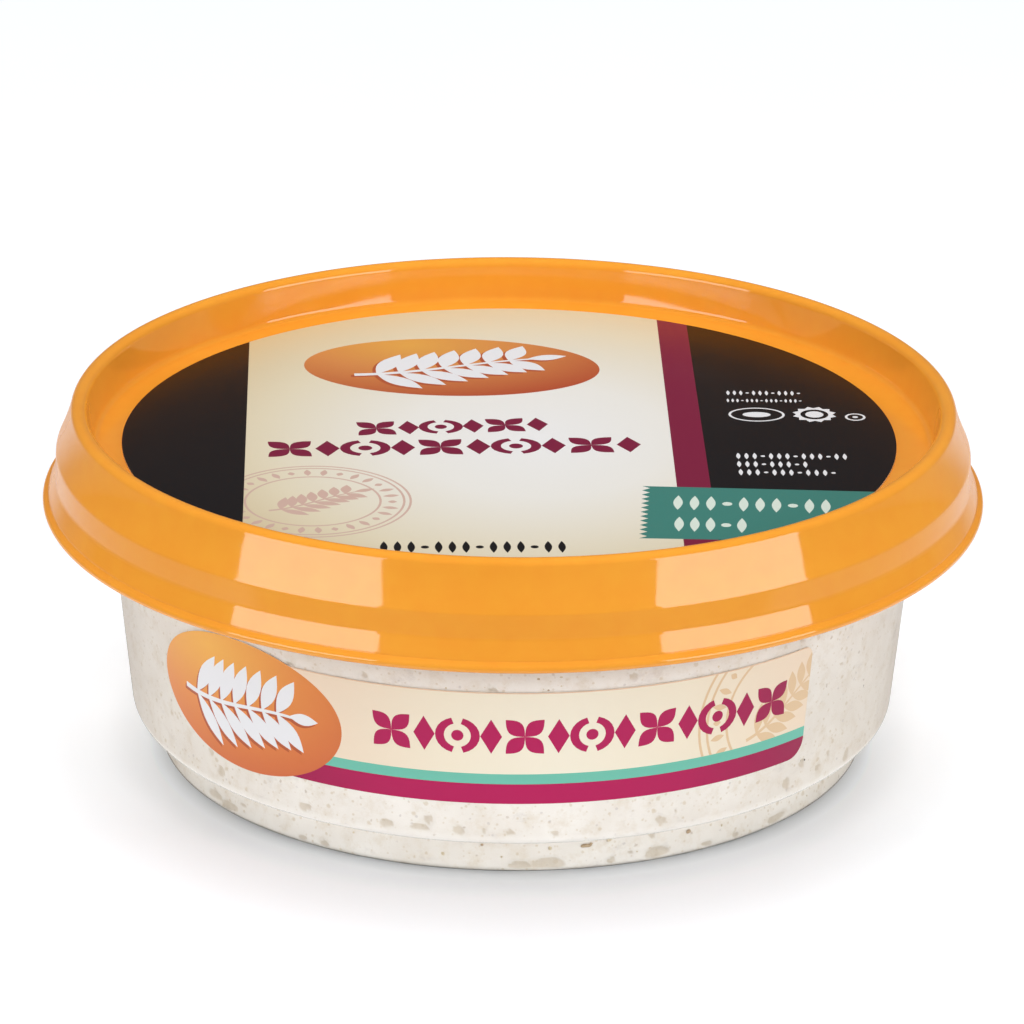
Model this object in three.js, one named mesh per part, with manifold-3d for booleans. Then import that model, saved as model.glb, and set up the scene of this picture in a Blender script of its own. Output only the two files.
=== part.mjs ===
// A round clear tub filled with baba ganoush, shut by a push-on lid with a label disc in its
// stacking recess and a curved sticker round the front of the tub.
// Millimetres, +Z up. The origin is the centre of the base and the front faces -Y.

import * as THREE from 'three';
import { mergeVertices } from 'three/addons/utils/BufferGeometryUtils.js';
import Module from 'manifold-3d';

const wasm = await Module();
wasm.setup();

// ---- Driving dimensions ---------------------------------------------------------------

const FACETS = 64; // round every turned piece
const LID_CURVE_STEPS = 3; // along each rounded corner of the lid's profile
const CURVE_STEPS = 2; // along each rounded corner of the others
const CORNER_STEPS = 4; // along half of each rounded corner of the sticker
const POCKET_FACETS = [8, 6]; // round and from top to bottom of an air pocket
const WELD = 1e-4; // corners closer than this are one corner

const TUB = {
  wall: 0.7,
  footRadius: 42.7, // the foot that the tub stands on
  footTopRadius: 42.5,
  footHeight: 4.6,
  footRound: 1.1, // the rounded lower edge of the foot
  ringInnerRadius: 36, // inside this the base is raised off the table
  baseRise: 0.6,
  ledgeHeight: 4.8, // the underside of the body, outside the foot
  bodyRadius: 45.95, // the conical body, at its lower corner
  bodyHeight: 6.0,
  cornerRound: 1.2,
  bodyTopRadius: 48.4, // the same cone, level with the lid's lip
  bodyTopHeight: 30.7,
  shoulderHeight: 33, // above this the wall steps out to the rim
  shoulderRise: 2.2,
  rimRadius: 52.1,
  rimHeight: 40.2,
  beadRadius: 52.9, // the ring that the lid clips over
  beadBottom: 36.6,
  beadTop: 38.1,
};

const DIP = {
  level: 33, // at the tub's wall
  crown: 0.4, // the middle of the surface stands this much higher
  gap: 0.15, // to the tub's inner faces
  pocketDepth: 0.6, // how far an air pocket reaches in from the tub's wall
};

const LID = {
  wall: 0.8,
  lipRadius: 56.3, // the widest point of the whole pack
  lipBottom: 30.4,
  lipRound: 0.55,
  grooveRadius: 55.6, // the fine groove above the lip, at the foot of the skirt's flare
  grooveHeight: 31.8,
  skirtRadius: 54.75, // top of the flare, under an upright strip
  skirtHeight: 33.95,
  shoulderRadius: 54.6, // foot of the hollow-curved upper band
  shoulderHeight: 36.85,
  bandRadius: 53.35, // the point that the band's curve leans towards
  bandHeight: 39.5,
  crownRadius: 51.8, // the middle of the rounded crown
  crownHeight: 41.6,
  crownRound: 1.0,
  crownLean: 9, // degrees from level at which the band runs into the crown
  recessRadius: 50.1, // the recess wall, just above the panel
  recessRound: 0.5,
  panelHeight: 37.4,
  ridgeRadius: 52.65, // the ridge that catches under the tub's bead
  ridgeHeight: 35.7,
  channelRadius: 52.2, // the roof of the channel that the tub's rim stands in
  channelHeight: 40.3,
};

const DISC = {
  radius: 46.25,
  thickness: 0.2,
  offset: -0.5, // the label is stuck on slightly to the left
};

const STICKER = {
  thickness: 0.25,
  gap: 0.1, // to the tub's wall
  bandBottom: 10.35,
  bandTop: 24.65,
  bandLeft: -34, // distances round the wall from the front are arc lengths
  bandRight: 38.1,
  topCorner: 1.3,
  bottomCorner: 2.3,
  ovalCentre: -33.9,
  ovalHeight: 17.6, // height of the oval's centre
  ovalHalfWidth: 14.1,
  ovalHalfHeight: 8.4,
  ovalPoints: 48,
};

// Air pockets against the wall. Each is degrees round from the front, height, width and tallness.
const POCKETS = [
  [-55, 1.3, 2.6, 1.3],
  [-51, 0.9, 3.0, 1.4],
  [-47, 7.4, 1.2, 1.7],
  [-31, 6.6, 1.7, 1.2],
  [-18, 6.6, 1.6, 1.3],
  [-13, 6.6, 2.1, 1.0],
  [-7.4, 6.6, 1.3, 1.4],
  [1.5, 0.8, 3.2, 0.9],
  [6, 1.0, 3.6, 1.7],
  [22, 6.7, 1.4, 1.2],
  [23.5, 1.0, 2.9, 1.6],
  [44, 7.2, 1.2, 1.8],
  [47, 0.9, 3.0, 1.2],
];
const POCKET_TURNS = [0, 182]; // the same pockets come again round the back

// ---- Worked out from them -------------------------------------------------------------

const draft = (TUB.bodyTopRadius - TUB.bodyRadius) / (TUB.bodyTopHeight - TUB.bodyHeight);
const bodyRadiusAt = (height) => TUB.bodyRadius + draft * (height - TUB.bodyHeight);
const stickerRadius = bodyRadiusAt(STICKER.ovalHeight); // where arc lengths are measured

// ---- Making solids --------------------------------------------------------------------

// Turns a profile of (radius, height) points round the vertical axis.
function revolve(points) {
  return new THREE.LatheGeometry(points, FACETS).rotateX(Math.PI / 2);
}

function toSolid(geometry) {
  const bare = geometry.clone();
  bare.deleteAttribute('normal');
  bare.deleteAttribute('uv');
  const merged = mergeVertices(bare, WELD);
  const mesh = new wasm.Mesh({
    numProp: 3,
    vertProperties: new Float32Array(merged.attributes.position.array),
    triVerts: new Uint32Array(merged.index.array),
  });
  return new wasm.Manifold(mesh);
}

function toGeometry(solid) {
  const mesh = solid.getMesh();
  const geometry = new THREE.BufferGeometry();
  geometry.setAttribute('position', new THREE.BufferAttribute(mesh.vertProperties, 3));
  geometry.setIndex(new THREE.BufferAttribute(mesh.triVerts, 1));
  geometry.computeVertexNormals();
  return geometry;
}

function piece(name, geometry, look) {
  const mesh = new THREE.Mesh(geometry, new THREE.MeshStandardMaterial(look));
  mesh.name = name;
  return mesh;
}

// ---- Tub ------------------------------------------------------------------------------

// The tub's inner faces from the top of the cone down to the axis, moved inwards by a gap.
function drawBodyInside(path, gap) {
  const inset = TUB.wall + gap;
  const ledge = TUB.ledgeHeight + inset;
  const cornerInset = inset + TUB.cornerRound;
  path.lineTo(bodyRadiusAt(TUB.bodyHeight + inset) - inset, TUB.bodyHeight + inset);
  path.quadraticCurveTo(TUB.bodyRadius - inset, ledge, TUB.bodyRadius - cornerInset, ledge);
  path.lineTo(TUB.footTopRadius - inset, TUB.footHeight + inset);
  path.lineTo(TUB.footRadius - inset, inset + TUB.footRound);
  path.quadraticCurveTo(TUB.footRadius - inset, inset, TUB.footRadius - inset - TUB.footRound, inset);
  path.lineTo(TUB.ringInnerRadius, inset);
  path.lineTo(TUB.ringInnerRadius - TUB.baseRise, inset + TUB.baseRise);
  path.lineTo(0, inset + TUB.baseRise);
}

function tub() {
  const shoulderTop = TUB.shoulderHeight + TUB.shoulderRise;
  const half = TUB.wall / 2;
  const mouthRadius = TUB.rimRadius - TUB.wall;
  const path = new THREE.Path();
  path.moveTo(0, TUB.baseRise);
  path.lineTo(TUB.ringInnerRadius - TUB.wall - TUB.baseRise, TUB.baseRise);
  path.lineTo(TUB.ringInnerRadius - TUB.wall, 0);
  path.lineTo(TUB.footRadius - TUB.footRound, 0);
  path.quadraticCurveTo(TUB.footRadius, 0, TUB.footRadius, TUB.footRound);
  path.lineTo(TUB.footTopRadius, TUB.footHeight);
  path.lineTo(TUB.bodyRadius - TUB.cornerRound, TUB.ledgeHeight);
  path.quadraticCurveTo(TUB.bodyRadius, TUB.ledgeHeight, TUB.bodyRadius, TUB.bodyHeight);
  path.lineTo(bodyRadiusAt(TUB.shoulderHeight), TUB.shoulderHeight);
  path.quadraticCurveTo(TUB.rimRadius, TUB.shoulderHeight + half, TUB.rimRadius, shoulderTop);
  path.lineTo(TUB.rimRadius, TUB.beadBottom);
  path.lineTo(TUB.beadRadius, TUB.beadBottom + half);
  path.lineTo(TUB.beadRadius, TUB.beadTop - TUB.wall);
  path.lineTo(TUB.rimRadius, TUB.beadTop);
  path.lineTo(TUB.rimRadius, TUB.rimHeight - half);
  path.quadraticCurveTo(TUB.rimRadius, TUB.rimHeight, TUB.rimRadius - half, TUB.rimHeight);
  path.quadraticCurveTo(mouthRadius, TUB.rimHeight, mouthRadius, TUB.rimHeight - half);
  path.lineTo(mouthRadius, shoulderTop + half);
  path.quadraticCurveTo(
    mouthRadius, TUB.shoulderHeight + TUB.wall,
    bodyRadiusAt(TUB.shoulderHeight) - TUB.wall, TUB.shoulderHeight + half,
  );
  drawBodyInside(path, 0);
  const look = { color: 0xe9e6e0, roughness: 0.08, transparent: true, opacity: 0.3 };
  return piece('tub', revolve(path.getPoints(CURVE_STEPS)), look);
}

// ---- Baba ganoush ---------------------------------------------------------------------

// An egg-shaped hollow centred on the side of the dip and turned to its azimuth.
function airPocket([azimuth, height, width, tallness]) {
  const wallRadius = height < TUB.footHeight ? TUB.footRadius : bodyRadiusAt(height);
  const egg = new THREE.SphereGeometry(1, ...POCKET_FACETS).rotateX(Math.PI / 2);
  egg.scale(width / 2, DIP.pocketDepth, tallness / 2);
  egg.translate(0, TUB.wall + DIP.gap - wallRadius, height);
  egg.rotateZ(THREE.MathUtils.degToRad(azimuth));
  return toSolid(egg);
}

function babaGanoush() {
  const edgeRadius = bodyRadiusAt(DIP.level) - TUB.wall - DIP.gap;
  const middle = DIP.level + DIP.crown;
  const path = new THREE.Path();
  path.moveTo(0, middle);
  path.quadraticCurveTo(edgeRadius / 2, middle, edgeRadius, DIP.level);
  drawBodyInside(path, DIP.gap);
  let solid = toSolid(revolve(path.getPoints(CURVE_STEPS).reverse()));
  for (const turn of POCKET_TURNS) {
    for (const [azimuth, ...size] of POCKETS) {
      solid = solid.subtract(airPocket([azimuth + turn, ...size]));
    }
  }
  return piece('baba_ganoush', toGeometry(solid), { color: 0xe6ddd0, roughness: 0.6 });
}

// ---- Lid ------------------------------------------------------------------------------

const recessSlope = (LID.crownRadius - LID.crownRound - LID.recessRadius)
  / (LID.crownHeight - LID.panelHeight - LID.recessRound);
const recessRadiusAt = (height) => LID.recessRadius
  + recessSlope * (height - LID.panelHeight - LID.recessRound);

// From the middle of the panel's underside, over the tub's rim and down to the lip.
function drawLidUnderside(path) {
  const plugFoot = LID.panelHeight - LID.wall;
  const plugRadius = LID.recessRadius + LID.wall;
  path.moveTo(0, plugFoot);
  path.lineTo(LID.recessRadius, plugFoot);
  path.quadraticCurveTo(plugRadius, plugFoot, plugRadius, LID.panelHeight);
  path.lineTo(recessRadiusAt(LID.channelHeight) + LID.wall, LID.channelHeight);
  path.lineTo(LID.channelRadius, LID.channelHeight);
  path.quadraticCurveTo(
    LID.bandRadius - LID.wall, LID.bandHeight,
    LID.shoulderRadius - LID.wall, LID.shoulderHeight,
  );
  path.lineTo(LID.ridgeRadius, LID.ridgeHeight);
  path.lineTo(LID.ridgeRadius, LID.ridgeHeight - LID.wall / 2);
  path.lineTo(LID.skirtRadius - LID.wall, LID.skirtHeight);
  path.lineTo(LID.grooveRadius - LID.wall, LID.grooveHeight);
  path.lineTo(LID.grooveRadius - LID.wall, LID.lipBottom);
}

// Up round the lip and the outside, over the crown and down into the recess.
function drawLidOutside(path) {
  const lipCentre = LID.lipRadius - LID.lipRound;
  const lean = THREE.MathUtils.degToRad(LID.crownLean);
  path.lineTo(lipCentre, LID.lipBottom);
  path.absarc(lipCentre, LID.lipBottom + LID.lipRound, LID.lipRound, -Math.PI / 2, Math.PI / 2);
  path.lineTo(LID.grooveRadius, LID.grooveHeight);
  path.lineTo(LID.skirtRadius, LID.skirtHeight);
  path.lineTo(LID.shoulderRadius, LID.shoulderHeight);
  path.quadraticCurveTo(
    LID.bandRadius, LID.bandHeight,
    LID.crownRadius + LID.crownRound * Math.cos(lean), LID.crownHeight + LID.crownRound * Math.sin(lean),
  );
  path.absarc(LID.crownRadius, LID.crownHeight, LID.crownRound, lean, Math.PI);
  path.lineTo(LID.recessRadius, LID.panelHeight + LID.recessRound);
  path.quadraticCurveTo(
    LID.recessRadius, LID.panelHeight,
    LID.recessRadius - LID.recessRound, LID.panelHeight,
  );
  path.lineTo(0, LID.panelHeight);
}

function lid() {
  const path = new THREE.Path();
  drawLidUnderside(path);
  drawLidOutside(path);
  return piece('lid', revolve(path.getPoints(LID_CURVE_STEPS)), { color: 0xf39a1f, roughness: 0.25 });
}

// ---- Labels ---------------------------------------------------------------------------

function lidLabel() {
  const disc = new THREE.CylinderGeometry(DISC.radius, DISC.radius, DISC.thickness, FACETS);
  const mesh = piece('lid_label', disc, { color: 0xe8dfc9, roughness: 0.3 });
  mesh.rotation.x = Math.PI / 2;
  mesh.position.set(DISC.offset, 0, LID.panelHeight + DISC.thickness / 2);
  return mesh;
}

// Where a point at a given arc length and height stands on the wall, seen square from the front.
function onWall(arcLength, height) {
  return new THREE.Vector2(bodyRadiusAt(height) * Math.sin(arcLength / stickerRadius), height);
}

function stickerOval() {
  const curve = new THREE.EllipseCurve(
    STICKER.ovalCentre, STICKER.ovalHeight, STICKER.ovalHalfWidth, STICKER.ovalHalfHeight,
  );
  return curve.getPoints(STICKER.ovalPoints).slice(0, -1);
}

function stickerBand() {
  const { bandLeft, bandRight, bandBottom, bandTop, topCorner, bottomCorner } = STICKER;
  const band = new THREE.Path();
  band.moveTo(bandLeft, bandBottom);
  band.lineTo(bandRight - bottomCorner, bandBottom);
  band.absarc(bandRight - bottomCorner, bandBottom + bottomCorner, bottomCorner, -Math.PI / 2, 0);
  band.absarc(bandRight - topCorner, bandTop - topCorner, topCorner, 0, Math.PI / 2);
  band.lineTo(bandLeft, bandTop);
  return band.getPoints(CORNER_STEPS);
}

// A prism that cuts the given outline out of whatever stands in front of the axis.
function outlineCutter(outline) {
  const shape = new THREE.Shape(outline.map((point) => onWall(point.x, point.y)));
  const reach = 2 * stickerRadius;
  const prism = new THREE.ExtrudeGeometry(shape, { depth: reach, bevelEnabled: false });
  return toSolid(prism.rotateX(Math.PI / 2));
}

function sideLabel() {
  const inner = (height) => new THREE.Vector2(bodyRadiusAt(height) + STICKER.gap, height);
  const outer = (height) => inner(height).add(new THREE.Vector2(STICKER.thickness, 0));
  const bottom = TUB.bodyHeight;
  const top = TUB.bodyTopHeight;
  const sleeve = toSolid(revolve([inner(bottom), outer(bottom), outer(top), inner(top), inner(bottom)]));
  const outline = outlineCutter(stickerOval()).add(outlineCutter(stickerBand()));
  const cut = sleeve.intersect(outline);
  return piece('side_label', toGeometry(cut), { color: 0xf1e6d2, roughness: 0.35 });
}

// ---- The pack -------------------------------------------------------------------------

const pack = new THREE.Group();
pack.add(tub(), babaGanoush(), lid(), lidLabel(), sideLabel());

export default pack;
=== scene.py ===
"""A round clear tub full of baba ganoush, with an orange push-on lid, a label disc and a sticker.

Lengths are millimetres until MM turns them into the frame's metres. +Z is up and the front faces -Y.
"""
import math
import random

import bmesh
import bpy
import numpy as np
from mathutils import Matrix, Vector
from mathutils.geometry import delaunay_2d_cdt


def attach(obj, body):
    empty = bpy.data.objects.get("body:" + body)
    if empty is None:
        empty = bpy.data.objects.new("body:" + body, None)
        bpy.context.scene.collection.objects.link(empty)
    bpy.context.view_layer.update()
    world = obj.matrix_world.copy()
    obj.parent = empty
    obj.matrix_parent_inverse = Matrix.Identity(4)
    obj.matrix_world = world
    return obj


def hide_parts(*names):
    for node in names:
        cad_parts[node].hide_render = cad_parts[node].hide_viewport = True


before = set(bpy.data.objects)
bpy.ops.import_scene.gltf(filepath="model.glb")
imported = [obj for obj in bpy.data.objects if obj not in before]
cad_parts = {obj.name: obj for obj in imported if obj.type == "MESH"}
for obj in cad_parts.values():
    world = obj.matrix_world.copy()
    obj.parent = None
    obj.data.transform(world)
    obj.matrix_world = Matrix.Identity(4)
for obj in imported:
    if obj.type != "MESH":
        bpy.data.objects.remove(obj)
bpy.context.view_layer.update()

MM = 0.001

# ---- Driving dimensions, as in the CAD model unless said ----

TUB_WALL = 0.7
FOOT_RADIUS = 42.7
FOOT_TOP_RADIUS = 42.5
FOOT_HEIGHT = 4.6
FOOT_ROUND = 0.7  # a little sharper than the CAD's 1.1
RING_INNER_RADIUS = 36.0  # inside this the base is raised off the table
BASE_RISE = 0.6
LEDGE_HEIGHT = 4.8
BODY_RADIUS = 45.95
BODY_HEIGHT = 6.0
BODY_TOP_RADIUS = 48.4
BODY_TOP_HEIGHT = 30.7
BODY_CORNER = 1.2  # how far from the body's lower corner its curve begins
SHOULDER_HEIGHT = 33.0
RIM_RADIUS = 52.1
RIM_HEIGHT = 40.2
BEAD_RADIUS = 52.9
BEAD_BOTTOM = 36.6
BEAD_TOP = 38.1

DIP_LEVEL = 33.0
DIP_CROWN = 0.4
DIP_REACH = 0.6  # the dip reaches this far into the tub's wall, so that no air shows between them

LID_WALL = 0.8
LIP_RADIUS = 56.3
LIP_BOTTOM = 30.4
LIP_ROUND = 0.55
GROOVE_RADIUS = 55.6
GROOVE_HEIGHT = 31.8
SKIRT_RADIUS = 54.75
SKIRT_HEIGHT = 33.95
LID_SHOULDER_RADIUS = 54.6
LID_SHOULDER_HEIGHT = 36.85
BAND_RADIUS = 53.35
BAND_HEIGHT = 39.5
CROWN_RADIUS = 51.8
CROWN_HEIGHT = 41.6
CROWN_ROUND = 1.0
CROWN_LEAN = 9  # degrees from level at which the band runs into the crown
RECESS_RADIUS = 50.1
PANEL_HEIGHT = 37.4
RIDGE_RADIUS = 52.65
RIDGE_HEIGHT = 35.7
CHANNEL_RADIUS = 52.2
CHANNEL_HEIGHT = 40.3

DISC_RADIUS = 46.25
DISC_OFFSET = -0.5
DISC_THICKNESS = 0.2
STICKER_LIFT = 0.01  # from the wall to the sticker's inner face, closer than in the CAD
STICKER_THICKNESS = 0.1  # a real film, thinner than the CAD's solid
BAND_BOTTOM = 10.35
BAND_TOP = 24.65
BAND_LEFT = -34.0
BAND_RIGHT = 38.1
BAND_TOP_CORNER = 1.3
BAND_BOTTOM_CORNER = 2.3
OVAL_CENTRE = (-33.9, 17.6)
OVAL_HALF_WIDTH = 14.1
OVAL_HALF_HEIGHT = 8.4

DRAFT = (BODY_TOP_RADIUS - BODY_RADIUS) / (BODY_TOP_HEIGHT - BODY_HEIGHT)


def body_radius_at(height):
    """Radius of the tub's conical wall."""
    return BODY_RADIUS + DRAFT * (height - BODY_HEIGHT)


STICKER_RADIUS = body_radius_at(OVAL_CENTRE[1])  # where arc lengths round the sticker are measured

# ---- Fineness ----

SEGMENTS = 320  # round the tub and the lid
DIP_COLUMNS = 860  # round the dip, fine enough for the edges of its air pockets
FINE_STEP = 0.38  # between rows of the dip where it shows
COARSE_STEP = 2.6  # between rows of the dip elsewhere
PRINT_STEP = 1.2  # between points of the curved sticker


# ---- Profiles and solids ----

def rounded(corners, steps=6):
    """A profile through (radius, height, cut) corners; cut is how far from a corner its curve begins."""
    points = []
    for index, (radius, height, cut) in enumerate(corners):
        here = Vector((radius, height))
        if not cut:
            points.append(here)
            continue
        before = Vector(corners[index - 1][:2]) - here
        after = Vector(corners[(index + 1) % len(corners)][:2]) - here
        start = here + before.normalized() * cut
        end = here + after.normalized() * cut
        for step in range(steps + 1):
            t = step / steps
            points.append(start * (1 - t) ** 2 + here * 2 * t * (1 - t) + end * t * t)
    return points


def curve(start, towards, end, steps=8):
    """Corners along a curve that leans towards a point, without its two ends."""
    a, b, c = Vector(start), Vector(towards), Vector(end)
    points = []
    for step in range(1, steps):
        t = step / steps
        points.append((*(a * (1 - t) ** 2 + b * 2 * t * (1 - t) + c * t * t), 0))
    return points


def arc(centre, radius, start, end, steps=10):
    """Corners round part of a circle, angles in degrees."""
    points = []
    for step in range(steps + 1):
        angle = math.radians(start + (end - start) * step / steps)
        points.append((centre[0] + radius * math.cos(angle), centre[1] + radius * math.sin(angle), 0))
    return points


def add_piece(name, mesh, materials):
    """A finished piece of the pack, which rides on its one body."""
    for material in materials:
        mesh.materials.append(material)
    piece = bpy.data.objects.new(name, mesh)
    bpy.context.scene.collection.objects.link(piece)
    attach(piece, "root")
    return piece


def make_mesh(name, points, faces, crease=35):
    """A closed mesh with outward faces, smooth but for edges sharper than crease degrees."""
    mesh = bpy.data.meshes.new(name)
    mesh.from_pydata([Vector(p) * MM for p in points], [], faces)
    cleaned = bmesh.new()
    cleaned.from_mesh(mesh)
    bmesh.ops.recalc_face_normals(cleaned, faces=cleaned.faces)
    cleaned.to_mesh(mesh)
    cleaned.free()
    mesh.shade_smooth()
    mesh.set_sharp_from_angle(angle=math.radians(crease))
    return mesh


def revolve(profile, columns):
    """Points and faces of a profile turned round the vertical axis. Ends on the axis become poles."""
    points, rings, faces = [], [], []
    for radius, height in profile:
        if radius < 1e-6:
            rings.append([len(points)] * columns)
            points.append((0, 0, height))
            continue
        rings.append(list(range(len(points), len(points) + columns)))
        for column in range(columns):
            angle = 2 * math.pi * column / columns
            points.append((radius * math.sin(angle), -radius * math.cos(angle), height))
    for low, high in zip(rings, rings[1:]):
        for column in range(columns):
            after = (column + 1) % columns
            corners = [low[column], low[after], high[after], high[column]]
            faces.append(list(dict.fromkeys(corners)))
    return points, faces


# ---- Materials ----

def srgb(red, green, blue):
    """A colour given as on a screen, turned into the renderer's linear values."""
    def linear(value):
        value /= 255
        return value / 12.92 if value <= 0.04045 else ((value + 0.055) / 1.055) ** 2.4
    return (linear(red), linear(green), linear(blue), 1)


class Look:
    """A node material being put together round one Principled shader."""

    def __init__(self, name, **settings):
        self.material = bpy.data.materials.new(name)
        self.material.use_nodes = True
        self.nodes = self.material.node_tree.nodes
        self.links = self.material.node_tree.links
        self.shader = self.nodes["Principled BSDF"]
        for socket, value in settings.items():
            self.shader.inputs[socket.replace("_", " ")].default_value = value
        self.place = self.nodes.new("ShaderNodeTexCoord").outputs["Object"]

    def put(self, value, socket):
        """Links an output to a socket, or sets the socket to a plain value."""
        if isinstance(value, bpy.types.NodeSocket):
            self.links.new(value, socket)
        else:
            socket.default_value = value

    def set(self, **values):
        """Links or sets the shader's own sockets."""
        for socket, value in values.items():
            self.put(value, self.shader.inputs[socket.replace("_", " ")])

    def noise(self, scale, detail=2.0, roughness=0.5, stretch=None, seed=0.0):
        """Cloudy noise from 0 to 1; scale is in patches per metre."""
        node = self.nodes.new("ShaderNodeTexNoise")
        node.noise_dimensions = "4D"
        node.inputs["Scale"].default_value = scale
        node.inputs["Detail"].default_value = detail
        node.inputs["Roughness"].default_value = roughness
        node.inputs["W"].default_value = seed
        self.links.new(self.stretched(stretch), node.inputs["Vector"])
        return node.outputs["Fac"]

    def cells(self, scale, shift):
        """Distance from the middles of scattered cells, and each cell's own random colour."""
        node = self.nodes.new("ShaderNodeTexVoronoi")
        node.inputs["Scale"].default_value = scale
        self.links.new(self.stretched((1, 1, 1), (shift, 0, 0)), node.inputs["Vector"])
        return node.outputs["Distance"], node.outputs["Color"]

    def stretched(self, stretch, shift=(0, 0, 0)):
        """The object's coordinates, scaled and shifted."""
        if stretch is None:
            return self.place
        node = self.nodes.new("ShaderNodeMapping")
        node.inputs["Scale"].default_value = stretch
        node.inputs["Location"].default_value = shift
        self.links.new(self.place, node.inputs["Vector"])
        return node.outputs["Vector"]

    def ramp(self, value, *stops):
        """A value turned into a colour or level by (position, level) stops."""
        node = self.nodes.new("ShaderNodeValToRGB")
        self.put(value, node.inputs["Fac"])
        elements = node.color_ramp.elements
        while len(elements) < len(stops):
            elements.new(0.5)
        for element, (position, level) in zip(elements, stops):
            element.position = position
            element.color = level if isinstance(level, tuple) else (level, level, level, 1)
        return node.outputs["Color"]

    def mix(self, factor, a, b, blend="MIX"):
        """Blends colour a towards colour b. The node's colour sockets come after its number ones."""
        node = self.nodes.new("ShaderNodeMix")
        node.data_type = "RGBA"
        node.blend_type = blend
        self.put(factor, node.inputs["Factor"])
        self.put(a, node.inputs[6])
        self.put(b, node.inputs[7])
        return node.outputs[2]

    def math(self, operation, a, b=0.0):
        node = self.nodes.new("ShaderNodeMath")
        node.operation = operation
        self.put(a, node.inputs[0])
        self.put(b, node.inputs[1])
        return node.outputs[0]

    def fit(self, value, low, high, out_low, out_high):
        """Maps low..high to out_low..out_high, held at its ends."""
        node = self.nodes.new("ShaderNodeMapRange")
        self.put(value, node.inputs["Value"])
        ends = {"From Min": low, "From Max": high, "To Min": out_low, "To Max": out_high}
        for socket, number in ends.items():
            node.inputs[socket].default_value = number
        return node.outputs["Result"]

    def distance_from(self, point, stretch=(1, 1, 1)):
        """Millimetres from a point, each axis weighted by stretch."""
        node = self.nodes.new("ShaderNodeVectorMath")
        node.operation = "DISTANCE"
        scale = [s / MM for s in stretch]
        self.links.new(self.stretched(scale), node.inputs[0])
        node.inputs[1].default_value = [p * s for p, s in zip(point, stretch)]
        return node.outputs["Value"]

    def axis(self, name):
        """One coordinate in millimetres."""
        node = self.nodes.new("ShaderNodeSeparateXYZ")
        self.links.new(self.stretched((1 / MM,) * 3), node.inputs[0])
        return node.outputs[name]

    def height_from(self, level):
        """Millimetres above or below a height."""
        return self.math("ABSOLUTE", self.math("SUBTRACT", self.axis("Z"), level))

    def attribute(self, name):
        """A level stored at the mesh's points."""
        node = self.nodes.new("ShaderNodeAttribute")
        node.attribute_name = name
        return node.outputs["Fac"]

    def edge(self, low, high):
        """From 0 where the surface faces the eye to 1 where it is seen edge-on, through more plastic."""
        node = self.nodes.new("ShaderNodeLayerWeight")
        return self.fit(node.outputs["Facing"], low, high, 0, 1)

    def let_light_through(self, thin, tint):
        """Clear plastic that lamps and bounced light pass, so that they reach the food behind it.

        Where it is thin, from 0 to 1, it also mirrors less and shows more of the food through its tint."""
        path = self.nodes.new("ShaderNodeLightPath")
        unseen = self.math("MAXIMUM", path.outputs["Is Shadow Ray"], path.outputs["Is Diffuse Ray"])
        mixed = self.nodes.new("ShaderNodeMixShader")
        self.links.new(self.math("MAXIMUM", unseen, thin), mixed.inputs[0])
        self.links.new(self.shader.outputs[0], mixed.inputs[1])
        passing = self.nodes.new("ShaderNodeBsdfTransparent")
        self.put(self.mix(unseen, tint, srgb(255, 255, 255)), passing.inputs["Color"])
        self.links.new(passing.outputs[0], mixed.inputs[2])
        self.links.new(mixed.outputs[0], self.nodes["Material Output"].inputs["Surface"])

    def bump(self, *layers):
        """Adds up (height, strength, depth in millimetres) layers into the shader's normal."""
        normal = None
        for height, strength, depth in layers:
            node = self.nodes.new("ShaderNodeBump")
            node.inputs["Strength"].default_value = strength
            node.inputs["Distance"].default_value = depth * MM
            self.put(height, node.inputs["Height"])
            if normal is not None:
                self.links.new(normal, node.inputs["Normal"])
            normal = node.outputs["Normal"]
        self.links.new(normal, self.shader.inputs["Normal"])


def lid_plastic():
    """Glossy orange injection-moulded plastic, very slightly wavy."""
    look = Look("lid_plastic", IOR=1.5)
    drift = look.noise(45, 2)
    cloud = look.noise(400, 3, seed=4)
    base = look.mix(look.fit(drift, 0.3, 0.7, 0, 1), srgb(235, 152, 46), srgb(240, 158, 52))
    look.set(Base_Color=look.mix(0.06, base, look.ramp(cloud, (0.3, 0.35), (0.7, 0.9)), "OVERLAY"))
    polish = look.fit(look.noise(260, 3, seed=9), 0.3, 0.75, 0.035, 0.07)
    look.set(Roughness=look.math("ADD", polish, look.fit(look.edge(0.5, 0.95), 0, 1, 0, 0.25)))
    look.bump((drift, 0.4, 0.2), (look.noise(600, 1, seed=2), 0.1, 0.004))
    return look.material


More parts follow.
